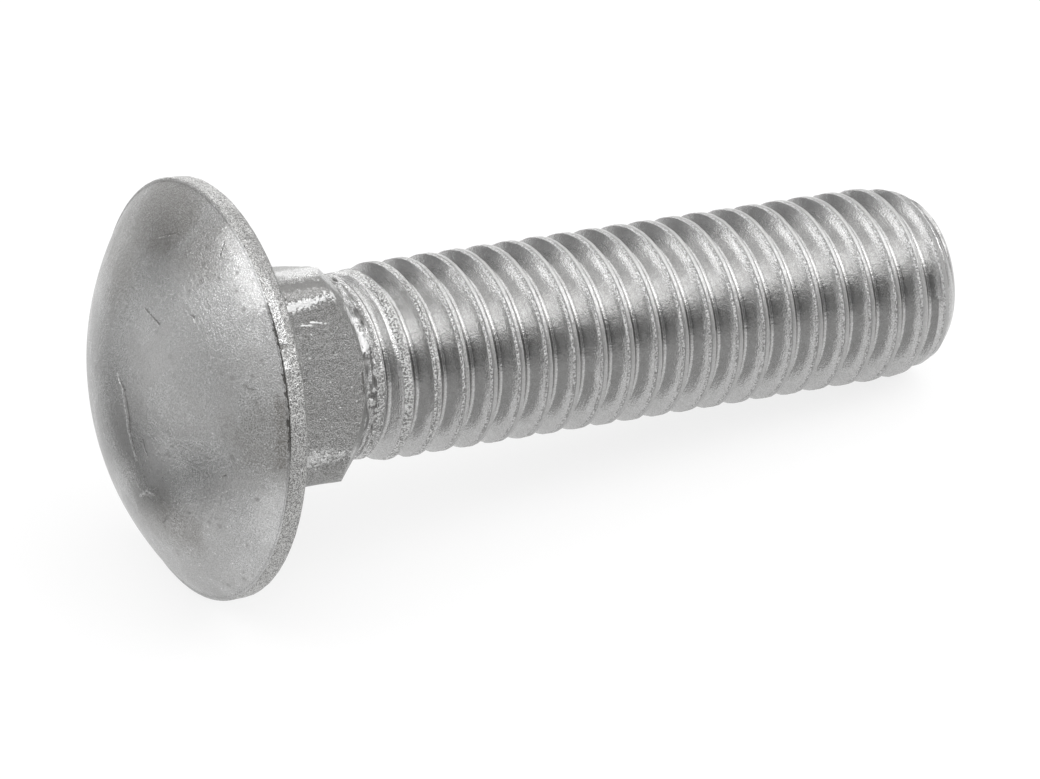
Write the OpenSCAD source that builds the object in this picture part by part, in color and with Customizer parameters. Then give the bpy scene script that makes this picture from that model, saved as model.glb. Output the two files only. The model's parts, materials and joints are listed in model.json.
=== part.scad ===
// Carriage bolt with a domed head, a square neck and a rolled thread.
// One forged piece of stainless steel, lying on its rim and its thread.
// The bolt is drawn upright, from its bearing face up, and laid down last.

/* [Head] */
// Diameter of the head
head_d = 26.2; // [25:0.1:28]
// Height of the head, from the bearing face to the top of the dome
head_h = 6.3; // [5:0.1:7.5]
// Thickness of the upset band round the rim
rim_t = 1.3; // [0.8:0.1:2]
// Rounding of the two edges of the rim
rim_round = 0.25; // [0.1:0.05:0.35]

/* [Square neck] */
// Width across the flats of the neck
neck_w = 13; // [12.5:0.1:13.6]
// Depth of the flats below the bearing face
neck_depth = 7.4; // [5:0.1:9]
// Rounding of the four long corners
neck_corner_r = 1.7; // [0.8:0.1:2.5]
// Slope of the cone that trims the corners, off the axis
neck_trim_angle = 45; // [35:1:55]
// Fillet where the neck meets the head
neck_fillet_r = 0.6; // [0.3:0.1:1]
// Turn of the flats about the axis, from the side that faces down
neck_turn = 62; // [0:1:90]

/* [Shank] */
// Length of the bolt below the head
bolt_len = 50.8; // [38:0.1:80]
// Diameter of the plain shank that the thread was rolled on
blank_d = 11.7; // [11.3:0.1:12]
// Length of the sloped shoulder between the flats and the shank
shoulder_len = 1; // [0.6:0.1:2]
// Plain length between the shoulder and the first groove
plain_len = 0.5; // [0.3:0.1:12]

/* [Thread] */
// Outside diameter of the thread
thread_d = 12.4; // [12.2:0.05:12.7]
// Threads in each inch of length
threads_per_inch = 13; // [11:1:14]
// Width of the flat land on each crest
crest_w = 0.5; // [0.4:0.05:0.7]
// Radius at the bottom of the thread
root_round = 0.22; // [0.15:0.01:0.28]
// Included angle between the two flanks
flank_angle = 60; // [55:1:60]
// Turns that the first groove takes to reach its full depth
runout_turns = 0.8; // [0.3:0.1:1.5]
// Length over which the first crest rises from the shank
crest_rise_len = 1.2; // [0.8:0.1:3]
// Angle at which the first groove begins, from the side that faces down
thread_phase = 124; // [0:1:359]
// Flats round each turn of the thread
thread_facets = 36; // [24:2:48]

/* [Tip] */
// Length over which the last crests get lower
tip_taper_len = 4.2; // [2:0.1:6]
// Diameter that the lowering crests reach at the end
tip_taper_d = 10.4; // [10.2:0.1:11.8]
// Diameter of the flat end, inside its chamfer
tip_d = 9.8; // [8:0.1:10]

/* [Hidden] */
round_facets = 96;

// Head: the dome is a spherical cap that springs from inside the rim
rim_r = head_d / 2;
dome_base_r = rim_r - rim_round;
dome_rise = head_h - rim_t;
dome_r = (dome_base_r * dome_base_r + dome_rise * dome_rise) / (2 * dome_rise);
dome_centre = dome_r - head_h;
neck_root = rim_t / 2;

// Neck
neck_r = neck_w / 2;
neck_flat_w = neck_w - 2 * neck_corner_r;
fillet_root = neck_corner_r / 2;
neck_trim_r = neck_r + (neck_depth + neck_root) * tan(neck_trim_angle);

// Shank
blank_r = blank_d / 2;
shoulder_end = neck_depth + shoulder_len;
shoulder_drop = neck_r - blank_r;
shoulder_foot = shoulder_end + shoulder_len / 2;
shoulder_foot_r = blank_r - shoulder_drop / 2;
thread_start = shoulder_end + plain_len;

// Thread: a vee between two crests, with its bottom rounded
thread_r = thread_d / 2;
pitch = 25.4 / threads_per_inch;
half_flank = flank_angle / 2;
vee_depth = (pitch - crest_w) / 2 / tan(half_flank);
root_r = thread_r - vee_depth + root_round * (1 / sin(half_flank) - 1);
root_half_w = root_round * cos(half_flank);
flank_foot_r = root_r + root_round * (1 - sin(half_flank));
groove_overshoot = 0.15;
groove_top_r = thread_r + groove_overshoot;
groove_half_w = root_half_w + (groove_top_r - flank_foot_r) * tan(half_flank);
crest_rise_start = thread_start + pitch / 4;
crest_rise_end = crest_rise_start + crest_rise_len;

// Tip: the crests get lower along an arc that leaves the thread smoothly
taper_start = bolt_len - tip_taper_len;
tip_r = tip_d / 2;
taper_drop = thread_r - tip_taper_d / 2;
taper_arc_r = (tip_taper_len * tip_taper_len + taper_drop * taper_drop) / (2 * taper_drop);

// How the bolt lies: on its rim, and on the crest that reaches down most
first_floor_crest = thread_start + pitch * (1 / 2 - thread_phase / 360);
crest_count = floor((bolt_len - crest_w - first_floor_crest) / pitch);
crest_edges = [for (k = [2:crest_count]) for (side = [-1, 1])
    first_floor_crest + k * pitch + side * crest_w / 2];
rest_tilt = min([for (s = crest_edges) tilt_onto(s, crest_r(s))]);
rest_lift = rim_round + (rim_r - rim_round) * cos(rest_tilt) - rim_round * sin(rest_tilt);
low_x = dome_centre * cos(rest_tilt) - dome_r;
high_x = bolt_len * cos(rest_tilt) + tip_r * sin(rest_tilt);

// Radius of the crests at distance s below the head
function crest_r(s) =
    let (into = max(0, s - taper_start))
    thread_r - taper_arc_r + sqrt(taper_arc_r * taper_arc_r - into * into);

// Tilt of a floor that touches the rounded rim and the point at s, r
function tilt_onto(s, r) =
    let (along = s + rim_round, drop = rim_r - rim_round - r)
    atan2(drop, along) + asin(rim_round / sqrt(along * along + drop * drop));

// Dome and rim, below the bearing face
module head() {
    rotate_extrude($fn = round_facets) {
        intersection() {
            translate([0, dome_centre]) circle(dome_r, $fn = 2 * round_facets);
            translate([0, -head_h]) square([dome_base_r, head_h - rim_round]);
        }
        translate([0, -rim_t]) square([rim_r - rim_round, rim_t]);
        translate([0, rim_round - rim_t]) square([rim_r, rim_t - 2 * rim_round]);
        for (z = [rim_round - rim_t, -rim_round])
            translate([rim_r - rim_round, z]) circle(rim_round, $fn = 32);
    }
}

module rounded_square(w, r) {
    square([w - 2 * r, w], center = true);
    square([w, w - 2 * r], center = true);
    for (x = [-1, 1], y = [-1, 1])
        translate([x * (w / 2 - r), y * (w / 2 - r)])
            circle(r, $fn = round_facets);
}

// Square prism whose corners are trimmed by the cone of the forging die.
// Its shoulder runs on into the shank, half as far again as it shows.
module neck() {
    intersection() {
        translate([0, 0, -neck_root])
            linear_extrude(neck_root + shoulder_foot)
                rounded_square(neck_w, neck_corner_r);
        rotate_extrude($fn = round_facets)
            polygon([
                [0, -neck_root], [neck_trim_r, -neck_root], [neck_r, neck_depth],
                [shoulder_foot_r, shoulder_foot], [0, shoulder_foot]
            ]);
    }
}

// Concave fillet, drawn beside the wall that it leans on
module fillet_section() {
    difference() {
        translate([-fillet_root, 0]) square([fillet_root + neck_fillet_r, neck_fillet_r]);
        translate([neck_fillet_r, neck_fillet_r]) circle(neck_fillet_r, $fn = 32);
    }
}

// Fillet all round the neck, where it leaves the bearing face
module neck_fillet() {
    for (quarter = [0:3]) rotate([0, 0, 90 * quarter]) {
        translate([neck_r, neck_flat_w / 2, 0])
            rotate([90, 0, 0]) linear_extrude(neck_flat_w) fillet_section();
        translate([neck_flat_w / 2, neck_flat_w / 2, 0])
            rotate_extrude(angle = 90, $fn = round_facets)
                translate([neck_corner_r, 0]) fillet_section();
    }
}

// Shank with the rise to full thread diameter and the lowered, chamfered tip
module shank() {
    rotate_extrude($fn = round_facets) {
        polygon([
            [0, -neck_root], [blank_r, -neck_root], [blank_r, crest_rise_start],
            [thread_r, crest_rise_end], [thread_r, taper_start], [0, taper_start]
        ]);
        intersection() {
            polygon([
                [0, taper_start], [thread_r, taper_start],
                [thread_r, bolt_len - (thread_r - tip_r)], [tip_r, bolt_len], [0, bolt_len]
            ]);
            translate([thread_r - taper_arc_r, taper_start])
                circle(taper_arc_r, $fn = 4 * round_facets);
        }
    }
}

// Groove between two crests, swept along the right-hand helix
module thread_groove() {
    section = [
        [groove_top_r, -groove_half_w], [flank_foot_r, -root_half_w], [root_r, 0],
        [flank_foot_r, root_half_w], [groove_top_r, groove_half_w]
    ];
    sides = len(section);
    turns = (bolt_len - thread_start) / pitch + 0.6;
    steps = ceil(turns * thread_facets);
    runout_lift = groove_top_r - root_r + groove_overshoot;
    points = [for (i = [0:steps])
        let (
            turn = i / thread_facets,
            angle = thread_phase + 360 * turn,
            lift = runout_lift * max(0, 1 - turn / runout_turns)
        )
        for (p = section) [
            (p[0] + lift) * cos(angle),
            (p[0] + lift) * sin(angle),
            thread_start + turn * pitch + p[1]
        ]
    ];
    skin = [for (i = [0:steps - 1]) for (j = [0:sides - 1])
        let (a = i * sides + j, b = i * sides + (j + 1) % sides)
        for (triangle = [[a, b + sides, b], [a, a + sides, b + sides]]) triangle
    ];
    start_cap = [for (j = [1:sides - 2]) [0, j, j + 1]];
    end_cap = [for (j = [1:sides - 2]) steps * sides * [1, 1, 1] + [0, j + 1, j]];
    polyhedron(points, concat(skin, start_cap, end_cap));
}

module carriage_bolt() {
    color("silver")
        translate([-(low_x + high_x) / 2, 0, rest_lift])
            rotate([0, 90 + rest_tilt, 0])
                difference() {
                    union() {
                        head();
                        rotate([0, 0, neck_turn]) {
                            neck();
                            neck_fillet();
                        }
                        shank();
                    }
                    thread_groove();
                }
}

carriage_bolt();
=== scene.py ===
"""A carriage bolt of stainless steel, lying on its rim and its thread."""

import json
import math

import bmesh
import bpy
from mathutils import Matrix, Vector, noise


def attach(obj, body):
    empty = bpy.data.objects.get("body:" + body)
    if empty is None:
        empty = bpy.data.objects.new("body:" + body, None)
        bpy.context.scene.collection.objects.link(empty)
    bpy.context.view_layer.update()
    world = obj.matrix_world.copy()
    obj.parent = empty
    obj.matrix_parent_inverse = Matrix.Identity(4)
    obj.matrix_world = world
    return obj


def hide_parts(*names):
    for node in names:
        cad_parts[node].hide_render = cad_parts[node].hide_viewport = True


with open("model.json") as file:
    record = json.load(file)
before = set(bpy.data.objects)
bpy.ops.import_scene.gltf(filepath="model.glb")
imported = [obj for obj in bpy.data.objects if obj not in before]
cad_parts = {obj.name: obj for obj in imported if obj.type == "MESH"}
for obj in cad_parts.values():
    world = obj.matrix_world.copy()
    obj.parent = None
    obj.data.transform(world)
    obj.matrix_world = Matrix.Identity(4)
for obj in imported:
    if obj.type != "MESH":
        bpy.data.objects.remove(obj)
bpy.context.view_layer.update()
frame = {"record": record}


# ---------------------------------------------------------------- How the bolt lies
# The bolt is drawn in millimetres with its bearing face at 0, its thread
# along +Z and +X on the side that faces the floor. The seat under the head
# says where that is in the frame.
MM = 0.001
seat = next(m for m in frame["record"]["mounts"] if m["name"] == "under_head")
seat_off_axis = 11 * MM
bolt_axis = Vector(seat["axis"]).normalized()
bolt_side = Vector((0, 1, 0))
bolt_up = bolt_axis.cross(bolt_side)
seat_centre = Vector(seat["pos_m"]) - seat_off_axis * bolt_up
bolt_turn = Matrix((-bolt_up, bolt_side, bolt_axis)).transposed()
bolt_place = bolt_turn.to_4x4()
bolt_place.translation = seat_centre
bolt_place = bolt_place @ Matrix.Scale(MM, 4)


# ---------------------------------------------------------------- Head
# Cold headed from stainless steel wire: a shallow dome, and round it an upset
# band that the die left rough. The two meet in a seam that is open in places.
head_r = 13.09
head_h = 6.3
rim_t = 1.3
rim_round = 0.25
dome_base_r = head_r - rim_round
dome_rise = head_h - rim_t
dome_r = (dome_base_r ** 2 + dome_rise ** 2) / (2 * dome_rise)
dome_centre = dome_r - head_h
dome_rings = 44
rim_edge_turns = (80, 66, 56, 50, 46, 42, 36, 24, 12, 0)
seam_turn = 46
rim_band_steps = 8
seat_edge_steps = 6
seat_rings = (12.4, 11.9, 11.3, 10.7, 10, 9.4)
head_sides = 288
seam_depth = 0.14
seam_rise = 0.6
seam_open_at = math.radians(-122)
seam_open_half = math.radians(23)
seam_gap_size = 3.1
seam_shut_below = 0.45
seam_edge_size = 0.6
seam_lip = 0.03
seam_lip_size = 0.7
seam_lip_rings = 3
dome_waves = 0.035
dome_wave_size = 4
rim_waves = 0.05
rim_wave_size = 0.9
flat_seat = 0.02
merge_dist = 1e-5


def bumps(place, size):
    """Smooth unevenness from 0 to 1, with hollows of about this size."""
    return min(1, max(0, 0.5 + 0.75 * noise.noise(Vector(place) / size)))


# The section of the head from the pole of the dome to the neck: radius, height.
section = []
dome_turn = math.asin(dome_base_r / dome_r)
for i in range(dome_rings + 1):
    turn = dome_turn * i / dome_rings
    section.append((dome_r * math.sin(turn), dome_centre - dome_r * math.cos(turn)))
rim_edge_from = len(section)
for degrees in rim_edge_turns:
    turn = math.radians(degrees)
    section.append((
        dome_base_r + rim_round * math.cos(turn),
        rim_round - rim_t - rim_round * math.sin(turn)))
seam_ring = rim_edge_from + rim_edge_turns.index(seam_turn)
rim_band_from = len(section)
for i in range(1, rim_band_steps):
    section.append((head_r, (rim_round - rim_t) + (rim_t - 2 * rim_round) * i / rim_band_steps))
for i in range(seat_edge_steps + 1):
    turn = math.radians(90 * i / seat_edge_steps)
    section.append((dome_base_r + rim_round * math.cos(turn), rim_round * math.sin(turn) - rim_round))
for r in seat_rings:
    section.append((r, 0))
neck_rings_from = len(section)


# ---------------------------------------------------------------- Square neck
# Under the head the die forces the wire into a square that holds in the
# wood. It trims the four corners to a cone, and their edges stay ragged.
neck_half_w = 6.5
neck_corner_r = 1.7
neck_depth = 7.4
neck_turn = math.radians(62)
neck_waves = 0.05
neck_wave_size = 1.2
neck_ragged = 0.14
neck_ragged_size = 0.5
least_cone = 0.10
fillet_r = 0.6
fillet_steps = 5
flat_steps = 13
cone_steps = 4
shank_r = 5.85
shoulder = ((6.36, 7.47), (6.24, 7.60), (6.16, 7.80), (6.10, 8.00), (6.04, 8.20), (5.95, 8.38))
shoulder_r = 6
shoulder_waves = 0.24
shoulder_wave_size = 0.55
plain_end = 8.5


def neck_reach(angle):
    """Distance from the axis to the side of the square neck."""
    across, along = sorted((abs(math.cos(angle - neck_turn)), abs(math.sin(angle - neck_turn))))
    corner_centre = neck_half_w - neck_corner_r
    reach = neck_half_w / along
    if across * reach > corner_centre:
        both = corner_centre * (across + along)
        reach = both + math.sqrt(both ** 2 - 2 * corner_centre ** 2 + neck_corner_r ** 2)
    return reach


def neck_section(angle):
    """Radius and height of each ring of the neck, at one angle."""
    reach = neck_reach(angle)
    at_shoulder = (shoulder_r * math.cos(angle), shoulder_r * math.sin(angle), 0)
    ragged = neck_ragged * (bumps(at_shoulder, neck_ragged_size) - 0.5)
    corner_h = min(neck_depth - least_cone, neck_depth - (reach - neck_half_w)) + ragged
    rings = []
    for i in range(fillet_steps + 1):
        turn = math.radians(90 * i / fillet_steps)
        rings.append((reach + fillet_r * (1 - math.sin(turn)), fillet_r * (1 - math.cos(turn))))
    for i in range(1, flat_steps + 1):
        rings.append((reach, fillet_r + (corner_h - fillet_r) * i / flat_steps))
    for i in range(1, cone_steps + 1):
        part = i / cone_steps
        rings.append((reach + (neck_half_w - reach) * part, corner_h + (neck_depth - corner_h) * part))
    rings += shoulder
    rings.append((shank_r, plain_end))
    return rings


# Rings of the fillet, the flats and the cone, counted on from the seat.
fillet_end_ring = neck_rings_from + fillet_steps
flat_end_ring = fillet_end_ring + flat_steps
cone_end_ring = flat_end_ring + cone_steps
section += neck_section(0)

bolt = bmesh.new()
ring_number = bolt.verts.layers.int.new("ring")
chain = []
for number, (r, s) in enumerate(section):
    vert = bolt.verts.new((r, 0, s))
    vert[ring_number] = number
    chain.append(vert)
for a, b in zip(chain, chain[1:]):
    bolt.edges.new((a, b))
bmesh.ops.spin(
    bolt, geom=bolt.verts[:] + bolt.edges[:], cent=(0, 0, 0), axis=(0, 0, 1),
    angle=2 * math.pi, steps=head_sides, use_merge=True, use_duplicate=False)
bmesh.ops.remove_doubles(bolt, verts=bolt.verts[:], dist=merge_dist)

# The round section gets its square neck, its open seam, and the unevenness
# that forging leaves on every face but the seat.
for vert in bolt.verts:
    ring = vert[ring_number]
    angle = math.atan2(vert.co.y, vert.co.x)
    outward = Vector((math.cos(angle), math.sin(angle), 0))
    on_edge = head_r * outward
    if ring < rim_edge_from:
        fade = 1 - (ring / rim_edge_from) ** 6
        vert.co.z += dome_waves * bumps(vert.co, dome_wave_size) * fade
    elif ring < rim_band_from:
        off_open = abs(math.remainder(angle - seam_open_at, 2 * math.pi)) / seam_open_half
        open_seam = max(0, 1 - off_open ** 2) + max(0, bumps(on_edge, seam_gap_size) - seam_shut_below)
        open_seam *= 0.4 + 0.8 * bumps(on_edge, seam_edge_size)
        if ring == seam_ring:
            vert.co += seam_depth * open_seam * Vector((-outward.x, -outward.y, seam_rise))
        else:
            near = max(0, 1 - abs(ring - seam_ring) / seam_lip_rings)
            vert.co -= seam_lip * near * bumps(on_edge, seam_lip_size) * outward
    elif ring < neck_rings_from:
        if vert.co.z < -flat_seat:
            vert.co -= rim_waves * bumps(vert.co, rim_wave_size) * outward
    else:
        r, s = neck_section(angle)[ring - neck_rings_from]
        vert.co = (r * outward.x, r * outward.y, s)
        if fillet_end_ring < ring <= cone_end_ring:
            vert.co -= neck_waves * bumps(vert.co, neck_wave_size) * outward
        elif cone_end_ring < ring < len(section) - 1:
            vert.co -= shoulder_waves * bumps(vert.co, shoulder_wave_size) * outward


# ---------------------------------------------------------------- Thread
# Rolled between flat dies, which press the root in. The metal rises on both
# sides of the crest, and its two lips leave a fine seam there. Toward the
# head the groove gets shallower and runs out on the blank.
mm_per_inch = 25.4
threads_per_inch = 13
pitch = mm_per_inch / threads_per_inch
bolt_len = 2 * mm_per_inch
crest_r = 6.2
crest_half_w = 0.26
crest_round = 0.09
crest_round_steps = 3
crest_band = 0.1
crest_waves = 0.045
crest_wave_size = 0.35
crest_seam = ((0.10, 0.0), (0.045, 0.01), (0.02, 0.035), (0.0, 0.07))
flank_turn = 60
flank_parts = (0.45, 0.92, 1)
root_r = 5.161
root_round = 0.22
root_steps = 3
thread_from = 8.62
thread_start = 8.9
thread_phase = math.radians(124)
thread_sides = 96
runout_turns = (-0.35, 0.5)
runout_blend = 0.06
crest_rise = (9.9, 11.3)
taper_start = 46.6
taper_arc_r = 9.32
tip_r = 4.9
end_rings = ((4.8, 0), (4.6, 0.02), (4.0, 0.03), (2.5, 0.05), (1.0, 0.04))
end_middle_drop = 0.04
end_flat = 0.01
end_band = 0.15
turn_merge_dist = 1e-4
cut_merge_dist = 0.004
crease = math.radians(32)

# Half of the groove, from the middle of its root to the middle of the crest.
groove_half = []
for i in range(root_steps + 1):
    turn = math.radians(flank_turn * i / root_steps)
    groove_half.append((root_round * math.sin(turn), root_r + root_round * (1 - math.cos(turn))))
flank_foot = groove_half[-1]
half_flank = math.radians(90 - flank_turn)
corner = pitch / 2 - crest_half_w
corner_cut = crest_round * math.tan(math.radians(flank_turn / 2))
flank_top = (corner - corner_cut * math.sin(half_flank), crest_r - corner_cut * math.cos(half_flank))
for part in flank_parts:
    groove_half.append(tuple(a + (b - a) * part for a, b in zip(flank_foot, flank_top)))
for i in range(1, crest_round_steps + 1):
    turn = math.radians(flank_turn - flank_turn * i / crest_round_steps)
    groove_half.append((
        corner + corner_cut - crest_round * math.sin(turn),
        crest_r - crest_round * (1 - math.cos(turn))))
for off_seam, drop in crest_seam:
    groove_half.append((pitch / 2 - off_seam, crest_r - drop))
groove = [(-z, r) for z, r in reversed(groove_half)] + groove_half[1:]

# One turn of the groove is swept round the axis, and copied down the bolt.
thread = bmesh.new()
across = thread.verts.layers.float.new("across")
chain = []
for z, r in groove:
    vert = thread.verts.new((r, 0, z))
    vert[across] = z
    chain.append(vert)
for a, b in zip(chain, chain[1:]):
    thread.edges.new((a, b))
bmesh.ops.spin(
    thread, geom=thread.verts[:] + thread.edges[:], cent=(0, 0, 0), axis=(0, 0, 1),
    dvec=(0, 0, pitch / thread_sides), angle=2 * math.pi, steps=thread_sides, use_duplicate=False)
start_turn = Matrix.Rotation(thread_phase, 3, "Z")
bmesh.ops.rotate(thread, verts=thread.verts[:], cent=(0, 0, 0), matrix=start_turn)
bmesh.ops.translate(thread, verts=thread.verts[:], vec=(0, 0, thread_start - pitch))
one_turn = thread.verts[:] + thread.edges[:] + thread.faces[:]
turn_count = math.ceil((bolt_len - thread_start) / pitch) + 2
for i in range(1, turn_count):
    copy = bmesh.ops.duplicate(thread, geom=one_turn)["geom"]
    bmesh.ops.translate(
        thread, verts=[g for g in copy if isinstance(g, bmesh.types.BMVert)], vec=(0, 0, i * pitch))
bmesh.ops.remove_doubles(thread, verts=thread.verts[:], dist=turn_merge_dist)
for height, keep_above in ((thread_from, True), (bolt_len, False)):
    bmesh.ops.bisect_plane(
        thread, geom=thread.verts[:] + thread.edges[:] + thread.faces[:], dist=cut_merge_dist,
        plane_co=(0, 0, height), plane_no=(0, 0, 1), clear_inner=keep_above, clear_outer=not keep_above)


def smooth_step(low, high, value):
    """Rises softly from 0 at the low value to 1 at the high one."""
    part = min(1, max(0, (value - low) / (high - low)))
    return part * part * (3 - 2 * part)


def blank_reach(s):
    """Radius of the blank, which rises to the full crest and falls again at the tip."""
    reach = shank_r + (crest_r - shank_r) * smooth_step(*crest_rise, s)
    into = max(0, s - taper_start)
    reach += math.sqrt(taper_arc_r ** 2 - into ** 2) - taper_arc_r
    return min(reach, tip_r + bolt_len - s)


def lower_of(a, b, blend):
    """The lower of two radii, with the corner between them rounded."""
    mix = max(0, blend - abs(a - b)) / blend
    return min(a, b) - mix * mix * blend / 4


# The groove is only as deep as the dies pressed it, and only where there is blank.
for vert in thread.verts:
    s = vert.co.z
    reach = math.hypot(vert.co.x, vert.co.y)
    turns_in = (s - vert[across] - thread_start) / pitch
    not_pressed = (crest_r - root_r) * (1 - smooth_step(*runout_turns, turns_in))
    new_reach = lower_of(blank_reach(s), reach + not_pressed, runout_blend)
    if reach > crest_r - crest_band:
        new_reach -= crest_waves * bumps(vert.co, crest_wave_size)
    vert.co.x *= new_reach / reach
    vert.co.y *= new_reach / reach

# The end of the blank was sheared flat, and the rolling left its edge round.
cut_from = bolt_len - end_flat
end_edges = [e for e in thread.edges if e.is_boundary and min(v.co.z for v in e.verts) > cut_from]
for reach, drop in end_rings:
    made = bmesh.ops.extrude_edge_only(thread, edges=end_edges)["geom"]
    for vert in (g for g in made if isinstance(g, bmesh.types.BMVert)):
        part = reach / math.hypot(vert.co.x, vert.co.y)
        vert.co = (vert.co.x * part, vert.co.y * part, bolt_len - drop)
    end_edges = [g for g in made if isinstance(g, bmesh.types.BMEdge)]
end_verts = list(dict.fromkeys(v for e in end_edges for v in e.verts))
bmesh.ops.pointmerge(thread, verts=end_verts, merge_co=(0, 0, bolt_len - end_middle_drop))

# The two stretches become one bolt where the plain shank ends.
thread_mesh = bpy.data.meshes.new("rolled_thread")
thread.to_mesh(thread_mesh)
thread.free()
for edge in bolt.edges:
    near_ring, far_ring = (v[ring_number] for v in edge.verts)
    if near_ring == far_ring and near_ring in (seam_ring, flat_end_ring, cone_end_ring):
        edge.smooth = False
bolt.from_mesh(thread_mesh)
bpy.data.meshes.remove(thread_mesh)
open_edges = [e for e in bolt.edges if e.is_boundary]
bmesh.ops.bridge_loops(bolt, edges=open_edges)
bmesh.ops.recalc_face_normals(bolt, faces=bolt.faces[:])
for edge in bolt.edges:
    edge.smooth = edge.smooth and edge.calc_face_angle(0) < crease

# Finishes 0 to 3: the tumbled dome, the forged skin, the rolled thread, the sheared end.
dome_ends = section[seam_ring][1]
for face in bolt.faces:
    face.smooth = True
    middle = face.calc_center_median()
    if middle.z < dome_ends:
        face.material_index = 0
    elif middle.z < plain_end:
        face.material_index = 1
    elif middle.z < bolt_len - end_band or middle.xy.length > tip_r:
        face.material_index = 2
    else:
        face.material_index = 3
bolt.transform(bolt_place)

bolt_mesh = bpy.data.meshes.new("carriage_bolt_steel")
bolt.to_mesh(bolt_mesh)
bolt.free()
piece = bpy.data.objects.new("forged_bolt", bolt_mesh)
bpy.context.scene.collection.objects.link(piece)


# ---------------------------------------------------------------- Effects of the steel surfaces
# Grain, dings, marks, patches and the open seam, which the four finishes below
# share. They are drawn in millimetres, across the bolt and along it.
def node(tree, kind, sockets=(), **settings):
    """Adds a node, and gives each of its sockets a value or a link."""
    made = tree.nodes.new(kind)
    for name, value in settings.items():
        setattr(made, name, value)
    for name, value in dict(sockets).items():
        if isinstance(value, bpy.types.NodeSocket):
            tree.links.new(value, made.inputs[name])
        else:
            made.inputs[name].default_value = value
    return made


def maths(tree, operation, *values):
    """Works out one value from others."""
    return node(tree, "ShaderNodeMath", dict(enumerate(values)), operation=operation).outputs[0]


def vector_maths(tree, operation, *values):
    """Works out a vector, a length or a product from vectors."""
    made = node(tree, "ShaderNodeVectorMath", dict(enumerate(values)), operation=operation)
    return made.outputs["Value" if operation in ("DOT_PRODUCT", "LENGTH") else "Vector"]


def ramp(tree, value, low, high, to_low=0.0, to_high=1.0):
    """Takes a value from one range to another, with soft ends."""
    return node(
        tree, "ShaderNodeMapRange", {0: value, 1: low, 2: high, 3: to_low, 4: to_high},
        interpolation_type="SMOOTHSTEP").outputs["Result"]


def shared_effect(name, inputs, output):
    """Starts a node group, and gives its inputs and its output node."""
    tree = bpy.data.node_groups.new(name, "ShaderNodeTree")
    for label, kind in inputs.items():
        tree.interface.new_socket(label, in_out="INPUT", socket_type="NodeSocket" + kind)
    tree.interface.new_socket(output, in_out="OUTPUT", socket_type="NodeSocketFloat")
    return tree, tree.nodes.new("NodeGroupInput").outputs, tree.nodes.new("NodeGroupOutput").inputs[output]


# Grain: hills and hollows of one size, left by a die or by tumbling.
grain, given, result = shared_effect(
    "Grain", {"Place": "Vector", "Size": "Float", "Detail": "Float"}, "Height")
grain_noise = node(grain, "ShaderNodeTexNoise", {
    "Vector": given["Place"], "Scale": maths(grain, "DIVIDE", 1.0, given["Size"]),
    "Detail": given["Detail"], "Roughness": 0.62})
grain.links.new(ramp(grain, grain_noise.outputs[0], 0.25, 0.75), result)

# Dings: scattered small pits, a share of them left out.
dings, given, result = shared_effect(
    "Dings", {"Place": "Vector", "Spacing": "Float", "Share": "Float"}, "Mask")
cells = node(dings, "ShaderNodeTexVoronoi", {
    "Vector": given["Place"], "Scale": maths(dings, "DIVIDE", 1.0, given["Spacing"])})
chance = node(dings, "ShaderNodeSeparateColor", {0: cells.outputs["Color"]})
kept = maths(dings, "LESS_THAN", chance.outputs[0], given["Share"])
width = ramp(dings, chance.outputs[1], 0.0, 1.0, 0.12, 0.42)
round_pit = ramp(dings, maths(dings, "DIVIDE", cells.outputs["Distance"], width), 0.3, 1.0, 1.0, 0.0)
dings.links.new(maths(dings, "MULTIPLY", round_pit, kept), result)

# Mark: one scratch or nick from a place to another, with an uneven edge.
mark, given, result = shared_effect(
    "Mark", {"Place": "Vector", "From": "Vector", "To": "Vector", "Width": "Float"}, "Mask")
run = vector_maths(mark, "SUBTRACT", given["To"], given["From"])
reach_in = vector_maths(mark, "SUBTRACT", given["Place"], given["From"])
along_run = maths(
    mark, "DIVIDE", vector_maths(mark, "DOT_PRODUCT", reach_in, run),
    vector_maths(mark, "DOT_PRODUCT", run, run))
along_mark = node(mark, "ShaderNodeClamp", {0: along_run}).outputs[0]
nearest = node(mark, "ShaderNodeVectorMath", {0: run, "Scale": along_mark}, operation="SCALE").outputs[0]
off_mark = vector_maths(mark, "LENGTH", vector_maths(mark, "SUBTRACT", reach_in, nearest))
edge_noise = node(mark, "ShaderNodeTexNoise", {"Vector": given["Place"], "Scale": 5.0, "Detail": 2.0})
uneven = maths(mark, "MULTIPLY", given["Width"], ramp(mark, edge_noise.outputs[0], 0.3, 0.7, 0.35, 1.25))
mark.links.new(ramp(mark, maths(mark, "DIVIDE", off_mark, uneven), 0.35, 1.0, 1.0, 0.0), result)

# Patch: a soft area of another tone round a place, broken up at its edge.
patch, given, result = shared_effect(
    "Patch", {"Place": "Vector", "Middle": "Vector", "Reach": "Float", "Uneven": "Float"}, "Mask")
off_middle = vector_maths(patch, "LENGTH", vector_maths(patch, "SUBTRACT", given["Place"], given["Middle"]))
patch_noise = node(patch, "ShaderNodeTexNoise", {"Vector": given["Place"], "Scale": 0.9, "Detail": 4.0})
broken = maths(patch, "MULTIPLY", ramp(patch, patch_noise.outputs[0], 0.3, 0.7, -1.0, 1.0), given["Uneven"])
part_out = maths(patch, "ADD", maths(patch, "DIVIDE", off_middle, given["Reach"]), broken)
patch.links.new(ramp(patch, part_out, 0.4, 1.2, 1.0, 0.0), result)

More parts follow.
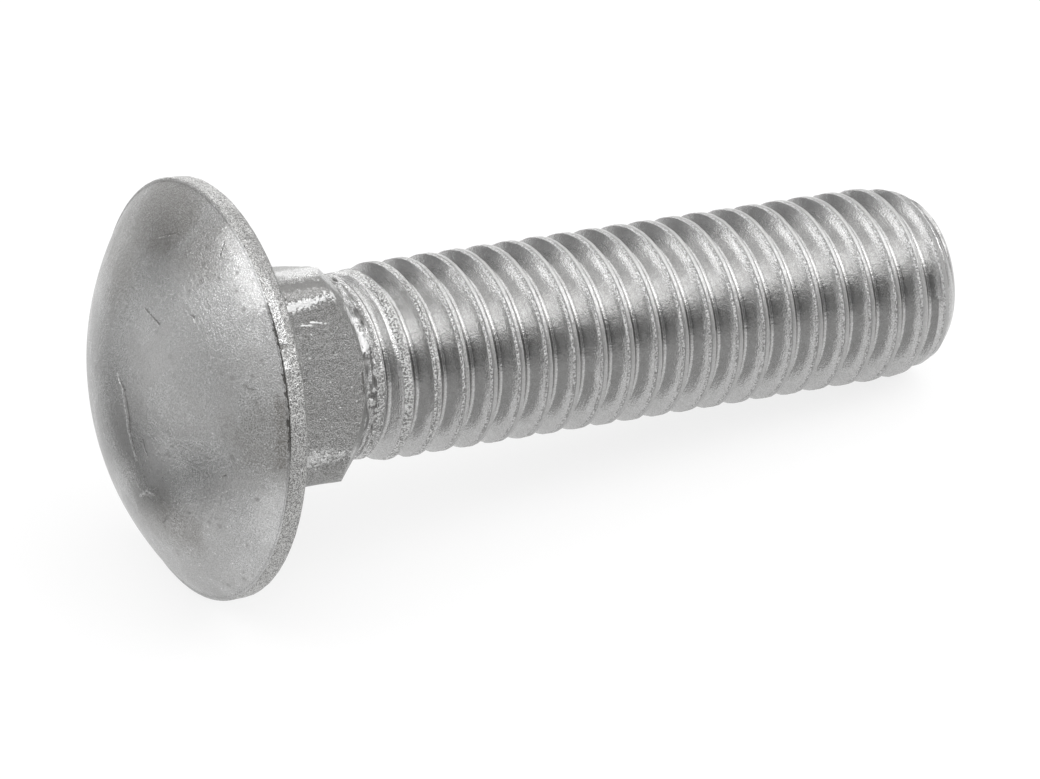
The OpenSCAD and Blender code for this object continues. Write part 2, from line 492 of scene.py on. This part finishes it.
# Seam: dark scale in the open stretch of the fold round the dome.
fold, given, result = shared_effect("Seam", {"Place": "Vector"}, "Mask")
fold_parts = node(fold, "ShaderNodeSeparateXYZ", {0: given["Place"]})
fold_reach = vector_maths(fold, "LENGTH", vector_maths(fold, "MULTIPLY", given["Place"], (1, 1, 0)))
toward_open = vector_maths(
    fold, "DOT_PRODUCT", given["Place"], (math.cos(seam_open_at), math.sin(seam_open_at), 0))
open_here = ramp(
    fold, maths(fold, "DIVIDE", toward_open, fold_reach),
    math.cos(1.1 * seam_open_half), math.cos(0.5 * seam_open_half))
fold_noise = node(fold, "ShaderNodeTexNoise", {"Vector": given["Place"], "Scale": 2.2, "Detail": 3.0})
fold_h = maths(
    fold, "MULTIPLY_ADD", maths(fold, "SUBTRACT", fold_noise.outputs[0], 0.5), 0.3,
    maths(fold, "SUBTRACT", fold_parts.outputs[2], dome_ends))
fold_half_w = ramp(fold, fold_noise.outputs[0], 0.35, 0.65, 0.03, 0.10)
off_fold = maths(fold, "DIVIDE", maths(fold, "ABSOLUTE", fold_h), fold_half_w)
in_fold = ramp(fold, off_fold, 0.5, 1.0, 1.0, 0.0)
fold.links.new(maths(fold, "MULTIPLY", in_fold, open_here), result)


def steel_finish(name):
    """A new steel material, its Principled shader, and the place on the bolt in millimetres."""
    finish = bpy.data.materials.new(name)
    finish.use_nodes = True
    tree = finish.node_tree
    own_place = node(tree, "ShaderNodeMapping", {
        "Vector": node(tree, "ShaderNodeTexCoord").outputs["Object"], "Location": seat_centre,
        "Rotation": bolt_turn.to_euler(), "Scale": (MM, MM, MM)}, vector_type="TEXTURE").outputs[0]
    shader = tree.nodes["Principled BSDF"]
    shader.inputs["Metallic"].default_value = 1
    bolt_mesh.materials.append(finish)
    return tree, shader, own_place


def effect(tree, shared, **sockets):
    """Puts a shared effect in a finish, with its own values."""
    return node(tree, "ShaderNodeGroup", sockets, node_tree=shared).outputs[0]


def marks(tree, place, *runs):
    """Marks from a place to another, each with its width."""
    marked = 0.0
    for start, end, width in runs:
        one = effect(tree, mark, Place=place, From=start, To=end, Width=width)
        marked = maths(tree, "MAXIMUM", one, marked)
    return marked


def patches(tree, place, uneven, *areas):
    """Soft patches round a place, each with its reach and its depth."""
    patched = 0.0
    for middle, reach, depth in areas:
        one = effect(tree, patch, Place=place, Middle=middle, Reach=reach, Uneven=uneven)
        patched = maths(tree, "MAXIMUM", maths(tree, "MULTIPLY", one, depth), patched)
    return patched


def total(tree, *parts):
    """Adds up heights, each given with its depth in millimetres."""
    height = 0.0
    for value, depth in parts:
        height = maths(tree, "MULTIPLY_ADD", value, depth, height)
    return height


def blend(tree, factor, a, b):
    """Mixes two colours."""
    return node(tree, "ShaderNodeMix", {0: factor, 6: a, 7: b}, data_type="RGBA").outputs[2]


def bump(tree, height):
    """Turns heights in millimetres into a normal."""
    return node(tree, "ShaderNodeBump", {"Strength": 1.0, "Distance": MM, "Height": height}).outputs[0]


# ---------------------------------------------------------------- Tumbled dome
# The dome came off the die with faint rings, and tumbling with the rest of
# its batch left it softly grey, with small dings, scratches and stains.
# Painted shade, a painted sheen and painted highlights lie on it as well.
dome_steel = (0.5, 0.499, 0.497, 1)
bright_dome_steel = (0.545, 0.546, 0.548, 1)
dark_grain = (0.31, 0.308, 0.305, 1)
lighter_steel = (0.8, 0.8, 0.8, 1)
spark_white = (0.74, 0.74, 0.74, 1)
sheen_steel = (0.8, 0.8, 0.8, 1)
highlight_streak_white = (0.97, 0.97, 0.97, 1)
stain_and_shade_brown = (0.2, 0.192, 0.18, 1)
ding_grey = (0.24, 0.235, 0.23, 1)
scratch_grey = (0.16, 0.155, 0.15, 1)
burnished_highlight_steel = (0.85, 0.85, 0.85, 1)
scale_black = (0.07, 0.066, 0.06, 1)

tree, shader, place = steel_finish("Tumbled dome")
off_axis = vector_maths(tree, "LENGTH", vector_maths(tree, "MULTIPLY", place, (1, 1, 0)))
ring_place = node(tree, "ShaderNodeCombineXYZ", {0: off_axis, 1: maths(tree, "MULTIPLY", off_axis, 0.05)})
rings = effect(tree, grain, Place=ring_place.outputs[0], Size=0.25, Detail=2.0)
at_edge = ramp(tree, off_axis, 9.6, 12.9)
outward = ramp(tree, off_axis, 6.5, 11.5)
speck = effect(tree, grain, Place=place, Size=0.085, Detail=2.0)
fine = effect(tree, grain, Place=place, Size=0.11, Detail=2.0)
soft = effect(tree, grain, Place=place, Size=0.4, Detail=3.0)
cloudy = ramp(tree, effect(tree, grain, Place=place, Size=3.2, Detail=4.0), 0.2, 0.8)
dinged = effect(tree, dings, Place=place, Spacing=0.75, Share=0.35)
bigger_dings = effect(tree, dings, Place=place, Spacing=2.6, Share=0.30)
sparks = effect(tree, dings, Place=place, Spacing=0.22, Share=0.22)
in_seam = effect(tree, fold, Place=place)

scratched = marks(
    tree, place,
    ((-7.9, -4.0, -4.1), (-7.9, -4.2, -4.1), 0.20),
    ((-11.4, -3.1, -2.2), (-12.0, -2.7, -1.8), 0.10),
    ((-9.8, 2.4, -3.4), (-10.2, 1.8, -3.2), 0.15),
    ((-10.2, 1.8, -3.2), (-10.6, 1.2, -3.0), 0.13),
    ((-1.5, 0.3, -6.2), (-1.1, -0.6, -6.3), 0.20),
    ((-1.1, -0.6, -6.3), (0.2, -1.5, -6.2), 0.16),
    ((0.2, -1.5, -6.2), (1.2, -1.8, -6.2), 0.24),
    ((1.2, -1.8, -6.2), (2.5, -2.5, -6.0), 0.17),
    ((2.5, -2.5, -6.0), (2.9, -2.8, -5.9), 0.14),
    ((1.0, -3.1, -6.0), (1.8, -3.6, -5.9), 0.14),
    ((5.5, -2.7, -5.3), (4.7, -3.5, -5.4), 0.10),
    ((4.7, -3.5, -5.4), (4.5, -4.2, -5.3), 0.10),
    ((6.3, -4.5, -4.7), (5.5, -5.0, -4.8), 0.16),
    ((-5.7, -9.4, -2.8), (-5.8, -9.8, -2.5), 0.12),
    ((0.4, -9.3, -3.9), (0.1, -9.6, -3.7), 0.11),
    ((-6.4, 0.1, -5.2), (-6.3, -1.9, -5.1), 0.09),
    ((6.5, 6.0, -4.2), (7.4, 4.8, -4.2), 0.13),
    ((2.0, 8.2, -4.3), (3.1, 8.6, -4.0), 0.14),
    ((-4.5, 8.9, -3.6), (-3.4, 9.3, -3.6), 0.12))

# Where something hard slid over the dome, the lip of the scratch is burnished, and painted bright as a
# painted highlight.
burnished_and_highlit = marks(
    tree, place,
    ((-1.6, 0.6, -6.2), (-1.0, -0.3, -6.3), 0.15),
    ((-1.0, -0.3, -6.3), (0.3, -1.1, -6.3), 0.13),
    ((0.3, -1.1, -6.3), (1.3, -1.5, -6.2), 0.18),
    ((1.3, -1.5, -6.2), (2.8, -2.4, -5.9), 0.15),
    ((5.5, -2.4, -5.3), (4.6, -3.3, -5.4), 0.16),
    ((4.6, -3.3, -5.4), (4.4, -4.0, -5.3), 0.14),
    ((-11.5, -3.0, -2.2), (-12.1, -2.6, -1.8), 0.12),
    ((-12.4, -1.9, -1.6), (-12.6, -2.0, -1.4), 0.14),
    ((-7.8, -4.2, -4.1), (-7.7, -4.4, -4.1), 0.12))

# Stains and painted shade lie softly on the dome, and a painted shade is smudged along the open seam.
stain_and_painted_shade = patches(
    tree, place, 0.14,
    ((-9.9, 5.3, -2.6), 3.4, 0.7), ((-7.0, 7.4, -3.3), 3.4, 0.6), ((6.5, -3.2, -4.9), 2.8, 0.4),
    ((5.8, -5.6, -4.6), 2.8, 0.7), ((0.3, 0.7, -6.3), 3.2, 0.1), ((4.0, -1.7, -5.8), 2.2, 0.2),
    ((-6.3, 4.4, -4.8), 2.8, 0.55), ((-10.8, 2.4, -2.6), 3.2, 0.75), ((-11.2, -1.9, -2.4), 2.6, 0.45),
    ((5.0, 7.5, -4.2), 2.6, 0.2), ((-3.2, -11.4, -1.9), 3.2, 0.5))
painted_shade_smudge = marks(
    tree, place,
    ((-5.5, -11.3, -1.6), (-3.9, -12.0, -1.6), 0.8), ((-3.9, -12.0, -1.6), (-2.0, -12.4, -1.6), 0.8))
stain_and_painted_shade = maths(tree, "MAXIMUM", maths(tree, "MULTIPLY", painted_shade_smudge, 0.9), stain_and_painted_shade)
stain_and_painted_shade = maths(tree, "MULTIPLY", stain_and_painted_shade, ramp(tree, speck, 0.3, 0.8, 1.0, 0.4))

# A few faint lighter patches lie on the dome. Along its edge by the open seam the
# dome is painted lighter as a painted sheen, and a white streak there is a painted highlight.
lighter_patches = patches(tree, place, 0.08, ((2.2, -5.4, -5.3), 2.8, 0.4), ((-6.2, -2.2, -5.0), 3.6, 0.16))
painted_sheen = patches(
    tree, place, 0.3,
    ((-11.4, -5.6, -1.5), 3.6, 1.0), ((6.0, -11.0, -1.6), 5.0, 0.35), ((2.0, -12.1, -1.7), 3.0, 0.8))
painted_sheen = maths(tree, "MULTIPLY", painted_sheen, ramp(tree, off_axis, 10.8, 12.2))
painted_highlight_streak = marks(
    tree, place,
    ((-12.4, -2.6, -1.5), (-11.7, -4.9, -1.5), 1.25), ((-11.7, -4.9, -1.5), (-10.5, -7.2, -1.5), 1.25))

steel = blend(tree, speck, dark_grain, blend(tree, cloudy, dome_steel, bright_dome_steel))
steel = blend(tree, lighter_patches, steel, lighter_steel)
sparkling = maths(tree, "MULTIPLY", sparks, maths(tree, "MULTIPLY_ADD", outward, 0.4, 0.4))
steel = blend(tree, sparkling, steel, spark_white)
# Painted sheen: the dome's edge by the open seam is painted lighter.
painted_sheen = maths(tree, "MULTIPLY", painted_sheen, maths(tree, "MULTIPLY_ADD", speck, 0.5, 0.25))
steel = blend(tree, painted_sheen, steel, sheen_steel)
# Painted highlight: a white streak along the edge of the dome.
painted_highlight_streak = maths(tree, "MULTIPLY", painted_highlight_streak, maths(tree, "MULTIPLY_ADD", speck, 0.5, 0.2))
steel = blend(tree, painted_highlight_streak, steel, highlight_streak_white)
# Stains and painted shade darken the dome here.
steel = blend(tree, stain_and_painted_shade, steel, stain_and_shade_brown)
dark_dings = maths(tree, "MULTIPLY", dinged, maths(tree, "MULTIPLY_ADD", outward, 0.35, 0.25))
steel = blend(tree, dark_dings, steel, ding_grey)
steel = blend(tree, maths(tree, "MULTIPLY", scratched, 0.6), steel, scratch_grey)
# The burnished scratch lips are painted bright, partly as a painted highlight.
highlit_lips = maths(tree, "MULTIPLY", burnished_and_highlit, ramp(tree, fine, 0.3, 0.6, 0.15, 0.9))
steel = blend(tree, highlit_lips, steel, burnished_highlight_steel)
steel = blend(tree, maths(tree, "MULTIPLY", in_seam, 0.85), steel, scale_black)
tumbled_grain = maths(tree, "MULTIPLY", fine, maths(tree, "MULTIPLY_ADD", at_edge, 0.020, 0.010))
height = total(
    tree, (in_seam, -0.04), (tumbled_grain, 1.0), (soft, 0.012), (rings, 0.006), (dinged, -0.008),
    (bigger_dings, -0.014), (scratched, -0.05))
roughness = maths(tree, "MULTIPLY_ADD", speck, -0.08, maths(tree, "MULTIPLY_ADD", cloudy, -0.05, 0.36))
tree.links.new(steel, shader.inputs["Base Color"])
tree.links.new(roughness, shader.inputs["Roughness"])
tree.links.new(bump(tree, height), shader.inputs["Normal"])


# ---------------------------------------------------------------- Forged skin
# The rim, the seat and the square neck keep the skin that the die gave them:
# dull and grainy, with pits where scale was pressed in.
neck_skin = (0.355, 0.353, 0.347, 1)
bright_neck_skin = (0.395, 0.395, 0.39, 1)
rim_skin = (0.61, 0.608, 0.6, 1)
rim_shade_skin = (0.33, 0.329, 0.325, 1)
highlight_skin = (0.95, 0.95, 0.95, 1)
corner_shade = (0.13, 0.129, 0.126, 1)
facet_shade = (0.14, 0.138, 0.135, 1)
facet_highlight = (0.92, 0.92, 0.92, 1)
skin_grain = (0.19, 0.188, 0.184, 1)
skin_spark = (0.8, 0.8, 0.8, 1)
pit_grey = (0.17, 0.168, 0.162, 1)
deep_scratch = (0.14, 0.137, 0.13, 1)
painted_highlight_white = (0.98, 0.98, 0.98, 1)
break_shade = (0.1, 0.098, 0.095, 1)
break_highlight = (0.75, 0.75, 0.74, 1)

tree, shader, place = steel_finish("Forged skin")
sides = node(tree, "ShaderNodeSeparateXYZ", {0: place})
along_bolt = sides.outputs[2]
on_rim = ramp(tree, along_bolt, -0.2, 0.1, 1.0, 0.0)
fine = effect(tree, grain, Place=place, Size=0.07, Detail=2.0)
coarse = effect(tree, grain, Place=place, Size=0.42, Detail=3.0)
cloudy = effect(tree, grain, Place=place, Size=3.0, Detail=3.0)
pitted = effect(tree, dings, Place=place, Spacing=0.4, Share=0.45)
sparks = effect(tree, dings, Place=place, Spacing=0.24, Share=0.2)
in_seam = effect(tree, fold, Place=place)
scratched = marks(
    tree, place,
    ((-3.1, -5.7, 7.2), (-2.0, -6.3, 7.2), 0.09),
    ((-8.6, -9.8, -1.2), (-8.6, -9.9, -0.75), 0.22),
    ((-0.9, -5.9, 8.3), (-0.4, -5.85, 8.5), 0.26),
    ((-2.1, -6.4, 7.3), (-1.1, -6.7, 7.3), 0.10))
skin = blend(tree, ramp(tree, cloudy, 0.2, 0.8), neck_skin, bright_neck_skin)
skin = blend(tree, on_rim, skin, rim_skin)

# The rim is painted darker on its outer half as painted shade, and lighter by the open
# seam as a painted highlight. The upper corner of the neck has a painted highlight too,
# and the strip below it a painted shade.
painted_rim_shade = patches(tree, place, 0.45, ((-12.0, -5.2, -0.3), 5.0, 0.7))
painted_rim_shade = maths(tree, "MULTIPLY", painted_rim_shade, ramp(tree, along_bolt, -1.1, -0.6))
# Painted shade on the outer half of the rim.
skin = blend(tree, maths(tree, "MULTIPLY", painted_rim_shade, on_rim), skin, rim_shade_skin)
painted_highlight = patches(tree, place, 0.45, ((-9.7, -8.8, -1.0), 2.9, 1.0))
painted_highlight = maths(tree, "MULTIPLY", painted_highlight, ramp(tree, along_bolt, -0.75, -0.5, 1.0, 0.0))
painted_corner_highlight = 1.0
for side, low, high, to_low, to_high in (
        (1, -2.15, -1.85, 0.0, 1.0), (1, 1.0, 3.5, 1.0, 0.0),
        (0, -6.2, -5.0, 1.0, 0.0), (2, 2.6, 4.0, 0.0, 1.0)):
    within = ramp(tree, sides.outputs[side], low, high, to_low, to_high)
    painted_corner_highlight = maths(tree, "MULTIPLY", painted_corner_highlight, within)
painted_highlight = maths(tree, "MAXIMUM", painted_highlight, painted_corner_highlight)
# Painted highlights by the open seam and on the upper corner of the neck.
skin = blend(tree, maths(tree, "MULTIPLY", painted_highlight, 0.9), skin, highlight_skin)
painted_corner_shade = marks(tree, place, ((-8.1, -2.65, 1.2), (-7.9, -2.65, 6.2), 0.6))
# Painted shade on the strip under the neck's upper corner.
skin = blend(tree, maths(tree, "MULTIPLY", painted_corner_shade, 0.85), skin, corner_shade)

# Round the shoulder, torn facets are painted light and dark as painted highlights and shade.
angle = maths(tree, "ARCTAN2", sides.outputs[1], sides.outputs[0])
facet_place = node(tree, "ShaderNodeCombineXYZ", {
    0: maths(tree, "MULTIPLY", angle, 4.3), 1: maths(tree, "MULTIPLY", along_bolt, 2.4)}).outputs[0]
facets = effect(tree, grain, Place=facet_place, Size=1.0, Detail=1.0)
painted_facet_light = blend(tree, ramp(tree, facets, 0.25, 0.75), facet_shade, facet_highlight)
on_shoulder = ramp(tree, along_bolt, 7.25, 7.6)
# The shoulder's painted highlights and shade go on here.
skin = blend(tree, maths(tree, "MULTIPLY", on_shoulder, 0.75), skin, painted_facet_light)

skin = blend(tree, ramp(tree, fine, 0.2, 0.8), skin_grain, skin)
skin = blend(tree, maths(tree, "MULTIPLY", sparks, 0.6), skin, skin_spark)
dark_pits = maths(tree, "MULTIPLY", pitted, maths(tree, "MULTIPLY_ADD", on_rim, 0.3, 0.45))
skin = blend(tree, dark_pits, skin, pit_grey)
skin = blend(tree, maths(tree, "MULTIPLY", scratched, 0.8), skin, deep_scratch)
skin = blend(tree, maths(tree, "MULTIPLY", in_seam, 0.85), skin, scale_black)

# The die dragged the edges of the neck, and a bit of the shoulder broke off.
# The ragged edges, two scratches and a shoulder facet are painted bright as painted
# highlights, and the broken bit is painted light and dark as painted highlights and shade.
torn = marks(
    tree, place,
    ((-7.15, -3.6, 2.6), (-7.3, -3.1, 6.0), 0.5),
    ((-6.1, -4.1, 3.4), (-6.0, -4.2, 4.6), 0.09),
    ((-6.2, -4.0, 4.1), (-6.0, -4.2, 5.3), 0.09),
    ((-6.0, -3.0, 7.4), (-4.2, -4.5, 7.95), 0.8))
painted_low_corner_highlight = marks(tree, place, ((1.2, -7.9, 2.0), (1.4, -7.3, 7.6), 0.7))
torn = maths(tree, "MAXIMUM", torn, maths(tree, "MULTIPLY", painted_low_corner_highlight, 0.4))
# Painted highlights on the neck's edges, two scratches and the shoulder facet.
skin = blend(tree, maths(tree, "MULTIPLY", torn, 0.9), skin, painted_highlight_white)
broken = patches(tree, place, 0.45, ((-0.7, -5.9, 8.3), 0.9, 1.0))
painted_break_light = blend(tree, ramp(tree, coarse, 0.35, 0.65), break_shade, break_highlight)
# The broken bit of the shoulder gets painted highlights and shade on its facets.
skin = blend(tree, maths(tree, "MULTIPLY", broken, 0.7), skin, painted_break_light)

coarse_depth = maths(tree, "MULTIPLY_ADD", on_rim, 0.055, 0.025)
height = total(
    tree, (maths(tree, "MULTIPLY", fine, torn), 0.012), (maths(tree, "MULTIPLY", coarse, torn), 0.03),
    (maths(tree, "MULTIPLY", coarse, broken), 0.10), (maths(tree, "MULTIPLY", coarse, coarse_depth), 1.0),
    (fine, 0.016), (pitted, -0.022), (scratched, -0.04), (in_seam, -0.04))
tree.links.new(skin, shader.inputs["Base Color"])
tree.links.new(ramp(tree, fine, 0.0, 1.0, 0.42, 0.30), shader.inputs["Roughness"])
tree.links.new(bump(tree, height), shader.inputs["Normal"])


# ---------------------------------------------------------------- Rolled thread
# Rolling burnished the flanks along the helix. The crest, which no die
# touched, stays grainy on the side toward the head.
flank_steel = (0.5, 0.498, 0.494, 1)
bright_flank_steel = (0.54, 0.54, 0.538, 1)
flank_grain = (0.3, 0.298, 0.295, 1)
crest_grey = (0.3, 0.298, 0.295, 1)
dark_bead = (0.13, 0.128, 0.125, 1)
bright_bead = (0.7, 0.7, 0.7, 1)
spot_grey = (0.24, 0.238, 0.232, 1)
root_shade_grey = (0.26, 0.256, 0.25, 1)
dark_start = (0.2, 0.198, 0.192, 1)
bright_start = (0.9, 0.9, 0.895, 1)

tree, shader, place = steel_finish("Rolled thread")
sides = node(tree, "ShaderNodeSeparateXYZ", {0: place})
along_bolt = sides.outputs[2]
angle = maths(tree, "ARCTAN2", sides.outputs[1], sides.outputs[0])
turns_along = maths(tree, "DIVIDE", maths(tree, "SUBTRACT", along_bolt, thread_start), pitch)
turns_round = maths(tree, "DIVIDE", maths(tree, "SUBTRACT", angle, thread_phase), 2 * math.pi)
helix_part = maths(tree, "FRACT", maths(tree, "SUBTRACT", turns_along, turns_round))
off_crest = maths(tree, "ABSOLUTE", maths(tree, "SUBTRACT", helix_part, 0.5))
on_crest = ramp(tree, off_crest, 0.11, 0.16, 1.0, 0.0)
grainy_side = maths(tree, "MULTIPLY", on_crest, ramp(tree, helix_part, 0.47, 0.52, 1.0, 0.25))
head_side = maths(tree, "MULTIPLY", on_crest, ramp(tree, helix_part, 0.46, 0.49, 1.0, 0.0))
shaded_root = ramp(tree, off_crest, 0.44, 0.49)
streak_place = node(tree, "ShaderNodeCombineXYZ", {
    0: maths(tree, "MULTIPLY", angle, 1.6), 1: maths(tree, "MULTIPLY", helix_part, 14.0),
    2: maths(tree, "MULTIPLY", along_bolt, 0.5)}).outputs[0]
streaks = effect(tree, grain, Place=streak_place, Size=1.0, Detail=2.0)
speck = effect(tree, grain, Place=place, Size=0.08, Detail=2.0)
fine = effect(tree, grain, Place=place, Size=0.12, Detail=2.0)
coarse = effect(tree, grain, Place=place, Size=0.45, Detail=3.0)
pitted = maths(tree, "MULTIPLY", effect(tree, dings, Place=place, Spacing=0.26, Share=0.5), grainy_side)
steel = blend(tree, ramp(tree, coarse, 0.2, 0.8), flank_steel, bright_flank_steel)
steel = blend(tree, ramp(tree, speck, 0.25, 0.75, 0.5, 0.0), steel, flank_grain)
steel = blend(tree, maths(tree, "MULTIPLY", on_crest, 0.35), steel, crest_grey)
beads = blend(tree, ramp(tree, fine, 0.35, 0.65), dark_bead, bright_bead)
steel = blend(tree, maths(tree, "MULTIPLY", head_side, 0.6), steel, beads)
steel = blend(tree, maths(tree, "MULTIPLY", pitted, 0.5), steel, spot_grey)
# The roots of the groove are painted darker: painted shade in the hollow.
steel = blend(tree, maths(tree, "MULTIPLY", shaded_root, 0.35), steel, root_shade_grey)

# The start of the groove and the first crests hardly met the dies, and stay rough.
at_start = ramp(tree, along_bolt, 8.9, 10.8, 1.0, 0.0)
at_start = maths(tree, "MULTIPLY", at_start, ramp(tree, off_crest, 0.16, 0.3, 1.0, 0.15))
first_crests = maths(tree, "MULTIPLY", on_crest, ramp(tree, along_bolt, 10.0, 17.0, 1.0, 0.0))
unrolled = maths(tree, "MULTIPLY", maths(tree, "MAXIMUM", at_start, first_crests), 0.6)
steel = blend(tree, unrolled, steel, blend(tree, ramp(tree, fine, 0.3, 0.7), dark_start, bright_start))
fine_depth = maths(tree, "MULTIPLY_ADD", grainy_side, 0.03, 0.007)
fine_depth = maths(tree, "MULTIPLY_ADD", at_start, 0.05, fine_depth)
fine_depth = maths(tree, "MULTIPLY_ADD", first_crests, 0.04, fine_depth)
height = total(
    tree, (streaks, 0.004), (maths(tree, "MULTIPLY", fine, fine_depth), 1.0), (coarse, 0.008),
    (pitted, -0.016))
tree.links.new(steel, shader.inputs["Base Color"])
tree.links.new(maths(tree, "MULTIPLY_ADD", on_crest, 0.15, 0.2), shader.inputs["Roughness"])
tree.links.new(bump(tree, height), shader.inputs["Normal"])


# ---------------------------------------------------------------- Sheared end
# The wire was cut off in one stroke before it was headed, and the end face
# stays torn and dull.
dark_end = (0.3, 0.297, 0.29, 1)
bright_end = (0.46, 0.458, 0.45, 1)

tree, shader, place = steel_finish("Sheared end")
torn_place = vector_maths(tree, "MULTIPLY", place, (1.0, 0.25, 1.0))
torn = effect(tree, grain, Place=torn_place, Size=0.3, Detail=4.0)
fine = effect(tree, grain, Place=place, Size=0.12, Detail=2.0)
tree.links.new(blend(tree, torn, dark_end, bright_end), shader.inputs["Base Color"])
tree.links.new(ramp(tree, fine, 0.0, 1.0, 0.55, 0.42), shader.inputs["Roughness"])
tree.links.new(bump(tree, total(tree, (torn, 0.05), (fine, 0.012))), shader.inputs["Normal"])

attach(piece, "root")
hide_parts("carriage_bolt")


# ---------------------------------------------------------------- Floor, light and camera
# A pale table under a wide soft lamp, with five smaller lamps: over the
# camera, at the right, toward the dome, behind the neck and low behind.
floor_half = 0.6
table_white = 0.8
floor_mesh = bpy.data.meshes.new("floor")
floor_build = bmesh.new()
bmesh.ops.create_grid(floor_build, x_segments=1, y_segments=1, size=floor_half)
floor_build.to_mesh(floor_mesh)
floor_build.free()
floor = bpy.data.objects.new("floor", floor_mesh)
bpy.context.scene.collection.objects.link(floor)

pale = bpy.data.materials.new("Pale table")
pale.use_nodes = True
tree = pale.node_tree
tree.nodes.clear()
matt = node(tree, "ShaderNodeBsdfDiffuse", {"Color": (0.9, 0.9, 0.9, 1)})
lit_white = node(tree, "ShaderNodeEmission", {"Color": (1, 1, 1, 1), "Strength": 1})
path = node(tree, "ShaderNodeLightPath")
seen = maths(tree, "MAXIMUM", path.outputs["Is Camera Ray"], path.outputs["Is Glossy Ray"])
seen = maths(tree, "MAXIMUM", seen, path.outputs["Is Transmission Ray"])
mixed = node(tree, "ShaderNodeMixShader", {
    0: maths(tree, "MULTIPLY", seen, table_white), 1: matt.outputs[0], 2: lit_white.outputs[0]})
node(tree, "ShaderNodeOutputMaterial", {"Surface": mixed.outputs[0]})
floor_mesh.materials.append(pale)


def facing_bolt(bearing, rise, reach):
    """Where a lamp or a screen stands, turned so that it faces the bolt."""
    bearing = math.radians(bearing)
    rise = math.radians(rise)
    out = Vector((
        math.sin(bearing) * math.cos(rise),
        math.cos(bearing) * math.cos(rise),
        math.sin(rise)))
    turned = out.to_track_quat("Z", "Y").to_matrix().to_4x4()
    turned.translation = out * reach
    return turned


# Each lamp's bearing and rise are in degrees, and its reach and size in metres.
for name, bearing, rise, reach, wide, tall, glow in (
        ("Wide lamp overhead", 0, 90, 0.52, 1.00, 1.00, 1.05),
        ("Lamp over the camera", 130, 53, 0.42, 0.26, 0.28, 2.2),
        ("Tall lamp on the right", 100, 29, 0.42, 0.11, 0.20, 1.7),
        ("Soft lamp toward the dome", -72, 36, 0.42, 0.26, 0.14, 1.7),
        ("Soft lamp behind the neck", 52, 36, 0.42, 0.28, 0.20, 1.15),
        ("Low lamp behind on the right", 16, 5, 0.42, 0.30, 0.12, 2.4)):
    lamp_data = bpy.data.lights.new(name, "AREA")
    lamp_data.shape = "RECTANGLE"
    lamp_data.size = wide
    lamp_data.size_y = tall
    lamp_data.energy = glow * math.pi * wide * tall
    lamp = bpy.data.objects.new(name, lamp_data)
    lamp.matrix_world = facing_bolt(bearing, rise, reach)
    bpy.context.scene.collection.objects.link(lamp)


card_h = 0.6


def lying_card(x, y, turn):
    """Where a card lies on the table, in millimetres, turned by some degrees."""
    return Matrix.Translation((x * MM, y * MM, card_h * MM)) @ Matrix.Rotation(math.radians(turn), 4, "Z")


# Dark screens and cards stand where only the steel sees them, in its reflections.
for name, stand, wide, tall, shade in (
        ("Screen behind the camera", facing_bolt(-176, 21, 0.62), 0.60, 0.55, 0.2),
        ("Screen behind the dome", facing_bolt(-26, 10, 0.62), 0.38, 0.34, 0.32),
        ("Card behind the dome", lying_card(-49, 46, 101), 0.076, 0.020, 0.2),
        ("Card before the dome", lying_card(-63.5, -14, 41), 0.072, 0.016, 0.15)):
    screen_mesh = bpy.data.meshes.new(name)
    screen_build = bmesh.new()
    bmesh.ops.create_grid(screen_build, x_segments=1, y_segments=1, size=0.5)
    bmesh.ops.scale(screen_build, vec=(wide, tall, 1), verts=screen_build.verts[:])
    screen_build.transform(stand)
    screen_build.to_mesh(screen_mesh)
    screen_build.free()
    cloth = bpy.data.materials.new(name)
    cloth.use_nodes = True
    shader = cloth.node_tree.nodes["Principled BSDF"]
    shader.inputs["Base Color"].default_value = (shade, shade, shade, 1)
    shader.inputs["Roughness"].default_value = 1
    screen_mesh.materials.append(cloth)
    screen = bpy.data.objects.new(name, screen_mesh)
    screen.visible_camera = False
    screen.visible_diffuse = False
    screen.visible_shadow = False
    bpy.context.scene.collection.objects.link(screen)

world = bpy.data.worlds.new("Studio")
world.use_nodes = True
sky = world.node_tree.nodes["Background"]
sky.inputs["Color"].default_value = (1, 1, 1, 1)
sky.inputs["Strength"].default_value = 0.6
bpy.context.scene.world = world
bpy.context.scene.view_settings.view_transform = "Standard"

# The camera looks down on the bolt through a long lens. camera_off says how far
# the seat under the head lies to its right, above it and behind it.
camera_turn = math.radians(28.047)
camera_rise = math.radians(33.883)
camera_off = Vector((-18.9770, 0.1557, -455.9046)) * MM
camera_right = Vector((math.cos(camera_turn), -math.sin(camera_turn), 0))
camera_back = Vector((
    -math.sin(camera_turn) * math.cos(camera_rise),
    -math.cos(camera_turn) * math.cos(camera_rise),
    math.sin(camera_rise)))
camera_up = camera_back.cross(camera_right)
camera_data = bpy.data.cameras.new("Camera")
camera_data.sensor_width = 36
camera_data.lens = 257.7
camera_data.clip_start = 0.01
camera = bpy.data.objects.new("Camera", camera_data)
camera_place = Matrix((camera_right, camera_up, camera_back)).transposed().to_4x4()
camera_place.translation = (
    seat_centre - camera_off.x * camera_right - camera_off.y * camera_up - camera_off.z * camera_back)
camera.matrix_world = camera_place
bpy.context.scene.collection.objects.link(camera)
bpy.context.scene.camera = camera
